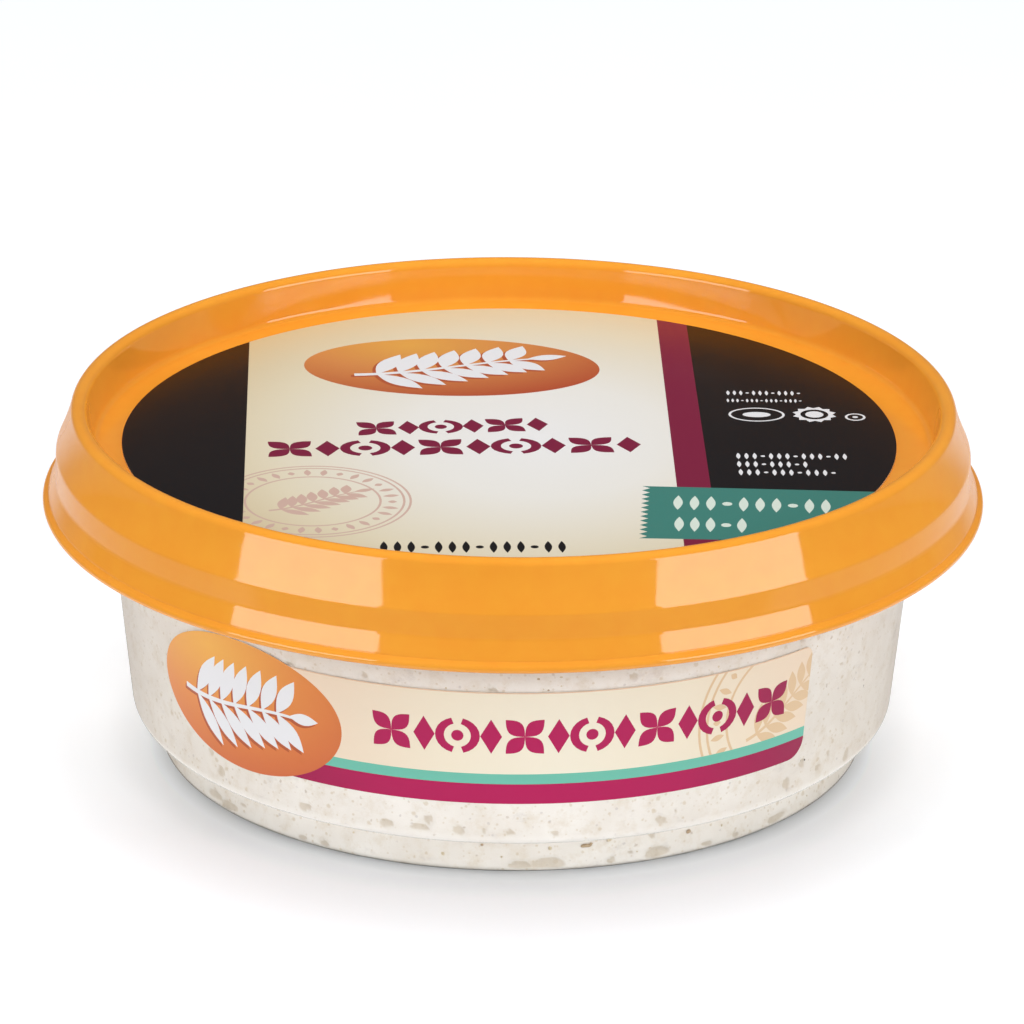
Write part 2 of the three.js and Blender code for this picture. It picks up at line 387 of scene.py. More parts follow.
def tub_plastic():
    """Clear plastic with faint flow lines and haze, a little darker where it is seen edge-on."""
    look = Look("tub_plastic", IOR=1.16, Transmission_Weight=1.0)
    haze = look.noise(500, 3, stretch=(1, 1, 0.15))
    clear = look.mix(haze, srgb(252, 251, 250), srgb(255, 255, 254))
    # the body's rounded lower corner is kept light, though it is seen edge-on, as a painted highlight where
    # it catches light
    off_corner = look.fit(look.height_from(LEDGE_HEIGHT + 0.2), 0.4, 1.2, 0, 1)
    thick = look.math("MULTIPLY", look.edge(0.12, 0.75), off_corner)
    look.set(Base_Color=look.mix(thick, clear, srgb(217, 210, 201)))
    look.set(Roughness=look.fit(haze, 0.35, 0.75, 0.03, 0.09))
    look.bump((look.noise(60, 2, seed=3), 0.25, 0.1), (look.noise(700, 3, stretch=(1, 1, 0.1)), 0.08, 0.006))
    side_on = look.math("MULTIPLY", look.edge(0.3, 0.95), off_corner)
    side_on = look.mix(side_on, srgb(255, 255, 255), srgb(214, 207, 200))
    look.let_light_through(look.math("MULTIPLY", look.edge(0.5, 0.88), 0.72), side_on)
    return look.material


def dip_paste():
    """Pale aubergine paste, clouded, flecked and pitted where it lies against the tub, with a painted shade
    under the lid's lip and a painted highlight at the ledge.
    """
    look = Look("dip_paste", Specular_IOR_Level=0.06)
    cream, light, warm = srgb(231, 225, 216), srgb(241, 237, 230), srgb(217, 204, 183)
    tan, brown, grey = srgb(198, 178, 142), srgb(160, 136, 106), srgb(196, 188, 183)
    # clouds, warmer patches and grey smudges
    colour = look.mix(look.fit(look.noise(110, 4, 0.6), 0.35, 0.65, 0, 1), cream, light)
    colour = look.mix(look.fit(look.noise(430, 5, 0.7, seed=5), 0.5, 0.72, 0, 0.6), colour, warm)
    smudge = look.fit(look.noise(230, 5, 0.7, (1, 1, 1.5), seed=8), 0.58, 0.74, 0, 0.5)
    colour = look.mix(smudge, colour, grey)
    # ragged specks in some of the cells of each size
    for scale, size, ink, strength, shift in (
        (560, 0.2, tan, 0.42, 0.1), (900, 0.2, tan, 0.42, 0.2), (1500, 0.26, tan, 0.3, 0.3),
        (380, 0.09, brown, 0.4, 0.4), (700, 0.14, grey, 0.5, 0.5),
    ):
        distance, own = look.cells(scale, shift)
        ragged = look.math("ADD", distance, look.fit(look.noise(2600, 2, seed=shift), 0.3, 0.7, -0.05, 0.05))
        few = look.fit(own, 0.48, 0.56, 0, strength)
        spot = look.fit(ragged, size * 0.55, size, 1, 0)
        colour = look.mix(look.math("MULTIPLY", few, spot), colour, ink)
    # air pockets, a painted shade under the lid's lip and a painted highlight where the ledge catches light
    hollow = look.fit(look.noise(900, 3, seed=6), 0.35, 0.65, 0, 1)
    hollow = look.mix(hollow, srgb(208, 195, 175), srgb(196, 182, 160))
    colour = look.mix(look.fit(look.attribute("pocket"), 0.25, 0.8, 0, 0.62), colour, hollow)
    # painted shade: darker and warmer towards the top, under the lid's lip, as if in its shadow and lit by
    # light off the orange lid
    lip_painted_shade = look.fit(look.axis("Z"), 24.5, 29.5, 0, 0.6)
    colour = look.mix(lip_painted_shade, colour, srgb(184, 156, 130))
    # painted highlight: lighter where the ledge catches light
    ledge_painted_highlight = look.fit(look.height_from(LEDGE_HEIGHT), 0.3, 1.4, 0.75, 0)
    colour = look.mix(ledge_painted_highlight, colour, srgb(248, 245, 240))
    look.set(Base_Color=colour)
    look.set(Roughness=look.fit(look.noise(800, 2, seed=7), 0.3, 0.7, 0.35, 0.6))
    look.bump(
        (look.noise(330, 4, 0.6, seed=5), 0.6, 0.12),
        (look.noise(1700, 3, 0.6, seed=12), 0.5, 0.05),
    )
    return look.material


def fleck(name, dark, light):
    """Aubergine skin, seed or char in the dip."""
    look = Look(name, Roughness=0.5)
    look.set(Base_Color=look.mix(look.fit(look.noise(2500, 3), 0.3, 0.7, 0, 1), dark, light))
    look.bump((look.noise(3500, 2), 0.4, 0.03))
    return look.material


def ink(name, colour, grain=0.02, gloss=0.3):
    """Printed film: an even or shaded colour with fine print grain under a satin varnish."""
    look = Look(name, IOR=1.45, Specular_IOR_Level=0.3)
    speckle = look.ramp(look.noise(1800, 3), (0.3, 0.35), (0.7, 0.7))
    shade = colour(look) if callable(colour) else colour
    look.set(Base_Color=look.mix(grain, shade, speckle, "OVERLAY"))
    look.set(Roughness=look.fit(look.noise(110, 2, seed=1), 0.3, 0.7, gloss - 0.01, gloss + 0.02))
    look.bump((look.noise(90, 1, seed=6), 0.15, 0.04))
    return look.material


def sunburst(centre, reach, stretch, *stops):
    """A printed shading that spreads from a point, in the label's own plane."""
    def shade(look):
        spread = look.distance_from(centre, stretch)
        return look.ramp(look.fit(spread, 0, reach, 0, 1), *stops)
    return shade


# ---- Flat print motifs ----

def ellipse(centre, half_width, half_height, tilt=0.0, count=72):
    points = []
    for index in range(count):
        angle = 2 * math.pi * index / count
        points.append((half_width * math.cos(angle), half_height * math.sin(angle)))
    return placed(points, centre, tilt)


def placed(outline, centre, tilt=0.0, scale=1.0):
    """An outline scaled, turned by tilt degrees and moved to a centre."""
    cos, sin = math.cos(math.radians(tilt)), math.sin(math.radians(tilt))
    return [
        (centre[0] + scale * (x * cos - y * sin), centre[1] + scale * (x * sin + y * cos))
        for x, y in outline
    ]


def leaf(length, width, count=9):
    """A pointed leaf from the origin along +X."""
    edge = [(length * t / count, width / 2 * math.sin(math.pi * t / count)) for t in range(count + 1)]
    return edge + [(x, -y) for x, y in edge[-2:0:-1]]


def lozenge(width, height):
    return [(-width / 2, 0), (0, -height / 2), (width / 2, 0), (0, height / 2)]


def bar(left, bottom, right, top):
    return [(left, bottom), (right, bottom), (right, top), (left, top)]


def stroke(points, width, taper):
    """A line as an outline, narrowing or widening to taper times its width."""
    left, right = [], []
    for index, point in enumerate(points):
        before = Vector(points[max(index - 1, 0)])
        after = Vector(points[min(index + 1, len(points) - 1)])
        side = (after - before).normalized().orthogonal()
        half = width / 2 * (1 + (taper - 1) * index / (len(points) - 1))
        left.append(tuple(Vector(point) + side * half))
        right.append(tuple(Vector(point) - side * half))
    return left + right[::-1]


def sprig(length, rise, fullness=0.27):
    """A leafy twig as outlines: a tapering stem, pairs of leaves and a leaf at its tip."""
    stem_steps = 16
    stem = []
    for step in range(stem_steps + 1):
        t = step / stem_steps
        stem.append((length * (t - 0.5) * 0.86, rise * (0.9 * math.sin(2.6 * t - 1.5) + 0.05)))
    outlines = [stroke(stem, length * 0.034, 0.5)]
    for index, at in enumerate((2, 4, 6, 8, 10, 12, 14)):
        here, ahead = Vector(stem[at]), Vector(stem[at + 1])
        along = math.degrees(math.atan2(*(ahead - here).yx))
        size = length * (fullness - 0.013 * index)
        for side in (58, -52):
            outlines.append(placed(leaf(size, length * 0.1), here, along + side))
    tip = Vector(stem[-1])
    outlines.append(placed(leaf(length * 0.2, length * 0.075), tip - Vector((length * 0.02, 0)), 12))
    return outlines


def flower(height):
    """Four petals round a middle."""
    return [placed(leaf(height * 0.7, height * 0.42), (0, 0), 45 + 90 * quarter) for quarter in range(4)]


def ring(height):
    """Two crescents round a dot."""
    shapes = [ellipse((0, 0), height * 0.16, height * 0.16, 0, 16)]
    turns = [math.radians(turn) for turn in range(-75, 76, 15)]
    for side in (-1, 1):
        outer = [(side * height * 0.58 * math.cos(turn), height * 0.52 * math.sin(turn)) for turn in turns]
        inner = [(x * 0.6, y * 0.66) for x, y in reversed(outer)]
        shapes.append(outer + inner)
    return shapes


def spaced(start, end, spacing):
    """Even places along a line, about spacing apart, and the line's tilt in degrees."""
    first, last = Vector(start), Vector(end)
    count = round((last - first).length / spacing)
    places = [first.lerp(last, (index + 0.5) / count) for index in range(count)]
    return places, math.degrees(math.atan2(*(last - first).yx))


def motif_row(start, end, height):
    """Flowers, lozenges and rings in turn along a line."""
    places, tilt = spaced(start, end, height * 0.84)
    outlines = []
    for index, middle in enumerate(places):
        diamond = [lozenge(height * 0.56, height)]
        shapes = (flower(height), diamond, ring(height), diamond)[index % 4]
        outlines += [placed(shape, middle, tilt) for shape in shapes]
    return outlines


def slim_row(start, end, height, pitch):
    """Slim upright leaves in a row, pitch times their height apart; every fourth is a dot instead."""
    places, tilt = spaced(start, end, height * pitch)
    upright = placed(leaf(height, height * 0.24), (0, -height / 2), 90)
    outlines = []
    for index, middle in enumerate(places):
        if index % 4 == 3:
            outlines.append(ellipse(middle, height * 0.13, height * 0.13, 0, 12))
        else:
            outlines.append(placed(upright, middle, tilt))
    return outlines


STAMP_LEAVES = 30


def stamp(centre, outer, second, inner, line, ink_name, paper):
    """A ring stamp: two fine rings, a round of small leaves, an inner ring and a sprig in the middle."""
    layers = []
    for radius in (outer, second, inner):
        layers.append((ink_name, ellipse(centre, radius, radius)))
        layers.append((paper, ellipse(centre, radius - line, radius - line)))
    gap = second - inner
    reach = (second - line + inner) / 2
    for index in range(STAMP_LEAVES):
        angle = 360 * index / STAMP_LEAVES
        turn = math.radians(angle)
        middle = (centre[0] + reach * math.cos(turn), centre[1] + reach * math.sin(turn))
        length = gap * (0.72 if index % 3 else 0.4)
        shape = placed(leaf(length, gap * 0.3), (-length / 2, 0))
        layers.append((ink_name, placed(shape, middle, angle)))
    layers += [(ink_name, placed(shape, centre, 12)) for shape in sprig(inner * 1.6, inner * 0.3, 0.3)]
    return layers


# ---- Printed sheets ----

def dense(outline, step):
    """An outline run counterclockwise, with points no further apart than step."""
    area = sum(a[0] * b[1] - b[0] * a[1] for a, b in zip(outline, outline[1:] + outline[:1]))
    if area < 0:
        outline = outline[::-1]
    points = []
    for here, after in zip(outline, outline[1:] + outline[:1]):
        here, after = Vector(here), Vector(after)
        pieces = max(1, math.ceil((after - here).length / step))
        points += [here.lerp(after, part / pieces) for part in range(pieces)]
    return points


def cut_print(sheets, layers, base, step, grid=()):
    """Cuts a flat sheet into the fields of its print, later layers over earlier ones.

    Returns the corners, the triangles and the name of each triangle's ink."""
    points, outlines = [Vector(point) for point in grid], []
    for outline in sheets + [shape for _, shape in layers]:
        edge = dense(outline, step)
        outlines.append(list(range(len(points), len(points) + len(edge))))
        points += edge
    corners, _, triangles, _, _, owners = delaunay_2d_cdt(points, [], outlines, 1, 1e-4)
    kept, inks = [], []
    for triangle, over in zip(triangles, owners):
        if not any(index < len(sheets) for index in over):
            continue
        top = max(over) - len(sheets)
        kept.append(triangle)
        inks.append(base if top < 0 else layers[top][0])
    return corners, kept, inks


def printed_solid(name, cut, inks, front, back, paper):
    """A thin closed sheet: the print on its front, plain paper on its back and round its edge."""
    corners, triangles, ink_names = cut
    used = sorted({index for triangle in triangles for index in triangle})
    order = {index: place for place, index in enumerate(used)}
    count = len(used)
    points = [front(corners[index]) for index in used] + [back(corners[index]) for index in used]
    names = list(inks)
    faces, slots = [], []
    edges = {}  # a dict keeps them in the order they are met
    for triangle, ink_name in zip(triangles, ink_names):
        a, b, c = (order[index] for index in triangle)
        faces += [(a, b, c), (c + count, b + count, a + count)]
        slots += [names.index(ink_name), names.index(paper)]
        for edge in ((a, b), (b, c), (c, a)):
            edges[edge] = True
    for a, b in edges:
        if (b, a) not in edges:
            faces.append((b, a, a + count, b + count))
            slots.append(names.index(paper))
    mesh = bpy.data.meshes.new(name)
    mesh.from_pydata([Vector(point) * MM for point in points], [], faces)
    mesh.shade_smooth()
    mesh.set_sharp_from_angle(angle=math.radians(35))
    label = add_piece(name, mesh, [inks[ink_name] for ink_name in names])
    mesh.polygons.foreach_set("material_index", slots)
    return label


# ---- The tub ----

def body_inside(inset):
    """Corners from the body's lower corner in to the axis, for a face inset from the tub's outside."""
    ledge = LEDGE_HEIGHT + inset
    return [
        (BODY_RADIUS - inset, ledge, BODY_CORNER),
        (FOOT_TOP_RADIUS - inset, FOOT_HEIGHT + inset, 0.3),
        (FOOT_RADIUS - inset, inset, FOOT_ROUND),
        (RING_INNER_RADIUS, inset, 0.3),
        (RING_INNER_RADIUS - BASE_RISE, inset + BASE_RISE, 0.3),
        (0, inset + BASE_RISE, 0),
    ]


def build_tub(material):
    mouth = RIM_RADIUS - TUB_WALL
    top = body_radius_at(SHOULDER_HEIGHT)
    half = TUB_WALL / 2
    outside = [
        (0, BASE_RISE, 0),
        (RING_INNER_RADIUS - TUB_WALL - BASE_RISE, BASE_RISE, 0.25),
        (RING_INNER_RADIUS - TUB_WALL, 0, 0.25),
        (FOOT_RADIUS, 0, FOOT_ROUND),
        (FOOT_TOP_RADIUS, FOOT_HEIGHT, 0.15),
        (BODY_RADIUS, LEDGE_HEIGHT, BODY_CORNER),
        (top, SHOULDER_HEIGHT, 0.3),
        (RIM_RADIUS, SHOULDER_HEIGHT + half, 1.4),
        (RIM_RADIUS, BEAD_BOTTOM, 0.15),
        (BEAD_RADIUS, BEAD_BOTTOM + half, 0.2),
        (BEAD_RADIUS, BEAD_TOP - TUB_WALL, 0.3),
        (RIM_RADIUS, BEAD_TOP, 0.15),
        (RIM_RADIUS, RIM_HEIGHT, half * 0.9),
    ]
    inside = [
        (mouth, RIM_HEIGHT, half * 0.9),
        (mouth, SHOULDER_HEIGHT + TUB_WALL, 1.2),
        (top - TUB_WALL, SHOULDER_HEIGHT + half, 0.3),
        *body_inside(TUB_WALL),
    ]
    points, faces = revolve(rounded(outside + inside), SEGMENTS)
    shell = add_piece("tub_shell", make_mesh("tub_shell", points, faces), [material])
    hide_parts("tub")


# ---- The dip ----

# Air pockets against the wall. Each is degrees round from the front, height, width and tallness.
POCKETS = [
    (-55, 1.3, 2.6, 1.3), (-51, 0.9, 3.0, 1.4), (-47, 7.4, 1.2, 1.7), (-31, 6.6, 1.7, 1.2),
    (-18, 6.6, 1.6, 1.3), (-13, 6.6, 2.1, 1.0), (-7.4, 6.6, 1.3, 1.4), (1.5, 0.8, 3.2, 0.9),
    (6, 1.0, 3.6, 1.7), (22, 6.7, 1.4, 1.2), (23.5, 1.0, 2.9, 1.6), (44, 7.2, 1.2, 1.8),
    (47, 0.9, 3.0, 1.2),
]
SMALL_POCKETS = [
    (-47.5, 1.9, 0.9, 0.7), (-34.6, 0.6, 1.2, 0.7), (-30.4, 0.7, 1.3, 0.8), (-3.7, 6.7, 0.7, 0.6),
    (0, 6.5, 1.1, 0.9), (6.4, 6.4, 0.9, 0.8), (15.9, 0.8, 1.2, 0.8), (51, 7.5, 1.1, 0.9),
    (59, 6.7, 1.5, 1.7), (32.5, 0.7, 1.5, 0.9), (38, 0.8, 1.0, 0.8), (47, 9.1, 1.1, 1.1),
]
STREAKS = [(60.5, 2.9, 0.6, 2.8), (62.5, 3.1, 0.4, 2.4), (65, 3.2, 0.7, 2.2)]  # at the foot's right end
POCKET_TURNS = (0, 182)  # the same pockets come again round the back
POCKET_DEPTH = 0.3
POCKET_REACH = 1.2  # how far in and out from the wall a pocket's hollow goes
POCKET_RIM = 1.22  # where its rim ends, as a share of its half size
POCKET_RIM_WIDTH = 0.5
RANDOM_POCKETS = 90


def resampled(profile):
    """A profile with fine rows where the dip shows and coarse ones elsewhere."""
    points = [profile[0]]
    for here, after in zip(profile, profile[1:]):
        shows = max(here[0], after[0]) > RING_INNER_RADIUS and min(here[1], after[1]) < LIP_BOTTOM + 1
        step = FINE_STEP if shows else COARSE_STEP
        pieces = max(1, math.ceil((after - here).length / step - 0.2))
        points += [here.lerp(after, part / pieces) for part in range(1, pieces + 1)]
    merged = [points[0]]
    for point in points[1:]:
        if (point - merged[-1]).length > FINE_STEP * 0.45:
            merged.append(point)
    merged[-1] = points[-1]
    return merged


def wall_radius_inside(height):
    """Radius of the dip's side."""
    outer = FOOT_RADIUS if height < FOOT_HEIGHT else body_radius_at(height)
    return outer - TUB_WALL + DIP_REACH


def pocket_depths(points, draw):
    """How deep the pockets press in at each point, from 0 to 1."""
    azimuth = np.arctan2(points[:, 0], -points[:, 1])
    radius = np.hypot(points[:, 0], points[:, 1])
    depth = np.zeros(len(points))
    hollows = list(STREAKS)
    for turn in POCKET_TURNS:
        hollows += [(degrees + turn, *size) for degrees, *size in POCKETS + SMALL_POCKETS]
    for _ in range(RANDOM_POCKETS):
        size = draw.uniform(0.5, 1.1)
        hollows.append((draw.uniform(0, 360), draw.uniform(1.5, 30), size, size * draw.uniform(0.7, 1.2)))
    for degrees, height, width, tallness in hollows:
        offset = (azimuth - math.radians(degrees) + math.pi) % (2 * math.pi) - math.pi
        across = offset * wall_radius_inside(height) / (width / 2)
        up = (points[:, 2] - height) / (tallness / 2)
        out = (radius - wall_radius_inside(height)) / POCKET_REACH
        turn = np.arctan2(up, across)
        phase = draw.uniform(0, 2 * math.pi)
        # the outline wavers in and out by up to a fifth
        ragged = 1 + 0.13 * np.sin(2 * turn + phase) + 0.09 * np.sin(3 * turn + 2 * phase)
        reach = np.sqrt(across ** 2 + up ** 2 + out ** 2) / ragged
        fall = np.clip((POCKET_RIM - reach) / POCKET_RIM_WIDTH, 0, 1)
        depth = np.maximum(depth, fall * fall * (3 - 2 * fall))
    return depth


def build_dip(material):
    """The dip, with each point near a pocket pressed in along its normal."""
    draw = random.Random(7)
    inset = TUB_WALL - DIP_REACH
    edge = body_radius_at(DIP_LEVEL) - inset
    corners = [(0, DIP_LEVEL + DIP_CROWN, 0), (edge, DIP_LEVEL, 0.6)] + body_inside(inset)
    points, faces = revolve(resampled(rounded(corners)), DIP_COLUMNS)
    mesh = make_mesh("dip_body", points, faces, 80)
    places = np.empty(len(mesh.vertices) * 3)
    mesh.vertices.foreach_get("co", places)
    normals = np.empty(len(mesh.vertices) * 3)
    mesh.vertices.foreach_get("normal", normals)
    places, normals = places.reshape(-1, 3) / MM, normals.reshape(-1, 3)
    depth = pocket_depths(places, draw)
    places -= normals * (depth * POCKET_DEPTH)[:, None]
    mesh.vertices.foreach_set("co", (places * MM).ravel())
    layer = mesh.attributes.new("pocket", "FLOAT", "POINT")
    layer.data.foreach_set("value", depth)
    body = add_piece("dip_body", mesh, [material])
    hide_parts("baba_ganoush")


SCATTERED_FLECKS = 420
FOOT_SHARE = 0.12  # of the scattered flecks lie on the foot
FLECK_THICKNESS = 0.16
FLECK_SINK = 0.03  # from the dip's surface to a fleck's middle

# Single flecks seen on the front: degrees round, height, width, tallness and kind.
FLECKS = [
    (42.3, 9.0, 0.7, 0.6, "skin"), (42.9, 9.3, 0.35, 0.3, "skin"), (41.8, 8.6, 0.3, 0.3, "skin"),
    (11.8, 3.0, 1.3, 0.45, "char"), (12.6, 3.2, 0.4, 0.3, "char"), (62, 15.3, 0.5, 1.5, "skin"),
    (48.6, 19.8, 0.5, 0.4, "seed"), (48.5, 21, 0.5, 0.4, "char"), (-62, 11.8, 0.4, 0.8, "skin"),
    (-59.8, 8.2, 0.4, 0.8, "skin"), (3.6, 26.4, 0.5, 0.4, "char"), (5, 24.9, 0.45, 0.35, "char"),
    (47.6, 9.4, 0.3, 0.3, "skin"), (46.5, 9.5, 0.25, 0.3, "skin"),
]


def scattered_flecks(draw):
    """Small flecks all round the wall, with the ones seen on the front; the last number is their lean."""
    flecks = [(*fleck, 0) for fleck in FLECKS]
    kinds = ("seed",) * 5 + ("char",)
    for _ in range(SCATTERED_FLECKS):
        size = 0.2 + 0.4 * draw.random() ** 2
        on_foot = draw.random() < FOOT_SHARE
        lowest, highest = (1.3, FOOT_HEIGHT - 0.6) if on_foot else (BODY_HEIGHT + 0.6, 31)
        height = draw.uniform(lowest, highest)
        turn, tallness = draw.uniform(0, 360), size * draw.uniform(0.6, 1.3)
        flecks.append((turn, height, size, tallness, draw.choice(kinds), draw.uniform(-1.2, 1.2)))
    return flecks


def build_flecks(materials):
    """Flat blobs that lie in the dip's surface, joined into one piece for each kind."""
    draw = random.Random(21)
    built = {kind: bmesh.new() for kind in materials}
    for degrees, height, width, tallness, kind, lean in scattered_flecks(draw):
        radius = wall_radius_inside(height)
        blob = bmesh.ops.create_icosphere(built[kind], subdivisions=2, radius=0.5 * MM)["verts"]
        for vert in blob:
            vert.co *= 1 + draw.uniform(-0.16, 0.16)
        shape = Matrix.Diagonal((width, FLECK_THICKNESS, tallness, 1))
        place = Matrix.Translation((0, -(radius - FLECK_SINK) * MM, height * MM))
        out = place @ Matrix.Rotation(lean, 4, "Y")
        round_wall = Matrix.Rotation(math.radians(degrees), 4, "Z")
        bmesh.ops.transform(built[kind], matrix=round_wall @ out @ shape, verts=blob)
    for kind, form in built.items():
        mesh = bpy.data.meshes.new(f"{kind}_flecks")
        form.to_mesh(mesh)
        form.free()
        mesh.shade_smooth()
        add_piece(f"{kind}_flecks", mesh, [materials[kind]])


# ---- The lid ----

def build_lid(material):
    plug = PANEL_HEIGHT - LID_WALL
    plug_radius = RECESS_RADIUS + LID_WALL
    lip = LIP_RADIUS - LIP_ROUND
    crown_inside = CROWN_RADIUS - CROWN_ROUND
    crown = arc((CROWN_RADIUS, CROWN_HEIGHT), CROWN_ROUND, CROWN_LEAN, 180, 18)
    inside = [
        (0, plug, 0),
        (plug_radius, plug, 0.5),
        (crown_inside + LID_WALL, CHANNEL_HEIGHT, 0.2),
        (CHANNEL_RADIUS, CHANNEL_HEIGHT, 0.2),
        *curve((CHANNEL_RADIUS, CHANNEL_HEIGHT), (BAND_RADIUS - LID_WALL, BAND_HEIGHT),
               (LID_SHOULDER_RADIUS - LID_WALL, LID_SHOULDER_HEIGHT)),
        (LID_SHOULDER_RADIUS - LID_WALL, LID_SHOULDER_HEIGHT, 0.1),
        (RIDGE_RADIUS, RIDGE_HEIGHT, 0.1),
        (RIDGE_RADIUS, RIDGE_HEIGHT - LID_WALL / 2, 0.1),
        (SKIRT_RADIUS - LID_WALL, SKIRT_HEIGHT, 0.3),
        (GROOVE_RADIUS - LID_WALL, GROOVE_HEIGHT, 0.2),
        (GROOVE_RADIUS - LID_WALL, LIP_BOTTOM, 0.1),
    ]
    outside = [
        *arc((lip, LIP_BOTTOM + LIP_ROUND), LIP_ROUND, -90, 75, 14),
        (GROOVE_RADIUS, LIP_BOTTOM + 2.3 * LIP_ROUND, 0.08),
        (GROOVE_RADIUS, GROOVE_HEIGHT, 0.12),
        (SKIRT_RADIUS, SKIRT_HEIGHT, 0.35),
        (LID_SHOULDER_RADIUS, LID_SHOULDER_HEIGHT, 0.25),
        *curve((LID_SHOULDER_RADIUS, LID_SHOULDER_HEIGHT), (BAND_RADIUS, BAND_HEIGHT), crown[0][:2]),
        *crown,
        (RECESS_RADIUS, PANEL_HEIGHT, 0.7),
        (0, PANEL_HEIGHT, 0),
    ]
    points, faces = revolve(rounded(inside + outside), SEGMENTS)
    shell = add_piece("lid_shell", make_mesh("lid_shell", points, faces), [material])
    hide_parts("lid")


# ---- The label disc ----

# Places on the disc are millimetres to the right of and behind the pack's axis.
TWIG_OFFSET = -1.1  # the sprig sits left of its oval's middle
LID_OVAL = ((-7.7, 24.15), 18.3, 10.4, -2.3)
TAG_TOP, TAG_BOTTOM = -16.4, -33.0
TAG_TEETH = 12
BEYOND = 80  # well past the disc's edge
DISC_LIFT = 0.02  # from the lid's panel


def beyond(a, b, side):
    """The field on one side of the line through a and b, drawn past the disc's edge."""
    first, last = Vector(a), Vector(b)
    along = (last - first).normalized() * BEYOND
    middle = (first + last) / 2
    across = Vector((side * BEYOND, 0))
    near = [middle - along, middle + along]
    far = [point + across for point in reversed(near)]
    return [tuple(point) for point in near + far]


def tag_outline():
    """The teal tag: a toothed left end, running off the disc at the right."""
    step = (TAG_TOP - TAG_BOTTOM) / TAG_TEETH
    left = []
    for tooth in range(TAG_TEETH):
        top = TAG_TOP - tooth * step
        left += [(15.1 - 0.06 * tooth, top), (16.0 - 0.06 * tooth, top - step / 2)]
    left.append((14.4, TAG_BOTTOM))
    return left + [(60, TAG_BOTTOM - 1.2), (60, TAG_TOP - 2.1)]


def discs(centre, *rounds):
    """Ellipses on one centre, each an ink, half width, half height and number of points."""
    return [(ink_name, ellipse(centre, wide, high, 0, count)) for ink_name, wide, high, count in rounds]


def marks_on_black():
    """Small white marks in the places of the plain seals and lines of the print."""
    layers = []
    for start, end, height in (
        ((25.8, 15.6), (35.2, 15.6), 1.7), ((25.8, 12.9), (35.2, 12.9), 1.3),
        ((26.2, -6.2), (39.8, -6.2), 2.1), ((26.2, -8.9), (35.0, -8.9), 2.1),
        ((26.3, -11.6), (38.2, -11.6), 2.1),
    ):
        layers += [("white", shape) for shape in slim_row(start, end, height, 0.46)]
    layers += discs((29.4, 8.0), ("white", 3.4, 2.4, 72), ("black", 3.1, 2.1, 72), ("white", 1.7, 0.9, 72))
    star = []
    for point in range(24):
        reach = 2.7 if point % 2 else 2.2
        star.append((reach * math.cos(math.pi * point / 12), reach * math.sin(math.pi * point / 12)))
    layers.append(("white", placed(star, (36.4, 8.2))))
    layers += discs((36.4, 8.2), ("black", 1.7, 1.7, 30), ("white", 1.1, 1.1, 30))
    layers += discs((41.3, 7.4), ("white", 1.25, 1.25, 30), ("black", 0.95, 0.95, 30))
    layers += discs((41.3, 7.4), ("white", 0.35, 0.35, 12))
    return layers


def oval_field(oval, twig, twig_tilt, shade, field, shift):
    """The orange oval with a white sprig over the sprig's own shadow."""
    centre, half_width, half_height, tilt = oval
    layers = [(field, ellipse(centre, half_width, half_height, tilt, 96))]
    for ink_name, move in ((shade, shift), ("white", (0, 0))):
        middle = (centre[0] + TWIG_OFFSET + move[0], centre[1] + move[1])
        layers += [(ink_name, placed(shape, middle, twig_tilt)) for shape in sprig(*twig)]
    return layers


def build_lid_label(inks):
    # on the cream field
    layers = stamp((-23.2, -22.1), 11.5, 10.75, 8.0, 0.28, "rose", "lid_cream")
    layers += [("magenta", shape) for shape in motif_row((-18.4, 2.0), (4.8, 4.2), 4.6)]
    layers += [("magenta", shape) for shape in motif_row((-28.8, -5.2), (16.0, -2.5), 5.2)]
    layers += [("black", shape) for shape in slim_row((-15.4, -36.4), (6.4, -35.8), 3.6, 0.42)]
    # the dark fields at both sides, the stripe between and the marks on the right one
    layers.append(("black", beyond((-33.1, 31.6), (-31.0, -28.8), -1)))
    layers.append(("magenta", beyond((18.05, 42.0), (19.5, -35.1), 1)))
    layers.append(("black", beyond((21.8, 39.8), (23.5, -33.2), 1)))
    layers += marks_on_black()
    # the tag and the oval over all
    layers.append(("teal", tag_outline()))
    layers += [("pale", shape) for shape in slim_row((18.2, -21.6), (37.2, -22.6), 4.6, 0.42)]
    layers += [("pale", shape) for shape in slim_row((18.2, -28.4), (27.2, -28.8), 4.6, 0.42)]
    layers += oval_field(LID_OVAL, (25.5, 3.2, 0.3), 2, "oval_shade", "lid_oval", (-0.4, -0.5))
    sheet = ellipse((DISC_OFFSET, 0), DISC_RADIUS, DISC_RADIUS, 0, 256)
    cut = cut_print([sheet], layers, "lid_cream", 6.0)
    top, bottom = PANEL_HEIGHT + DISC_THICKNESS, PANEL_HEIGHT + DISC_LIFT
    label = printed_solid(
        "label_disc", cut, inks, lambda p: (p.x, p.y, top), lambda p: (p.x, p.y, bottom),
        "paper",
    )
    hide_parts("lid_label")


# ---- The sticker ----

# Places on the sticker are millimetres along the wall from the front's middle, and heights.

def band_outline():
    right, bottom, top = BAND_RIGHT, BAND_BOTTOM, BAND_TOP
    low, high = BAND_BOTTOM_CORNER, BAND_TOP_CORNER
    points = [(BAND_LEFT, bottom)]
    points += [p[:2] for p in arc((right - low, bottom + low), low, -90, 0)]
    points += [p[:2] for p in arc((right - high, top - high), high, 0, 90)]
    return points + [(BAND_LEFT, top)]


def on_wall(point, lift):
    """A point of the flat sticker laid on the tub's wall."""
    radius = body_radius_at(point.y) + lift
    angle = point.x / STICKER_RADIUS
    return (radius * math.sin(angle), -radius * math.cos(angle), point.y)


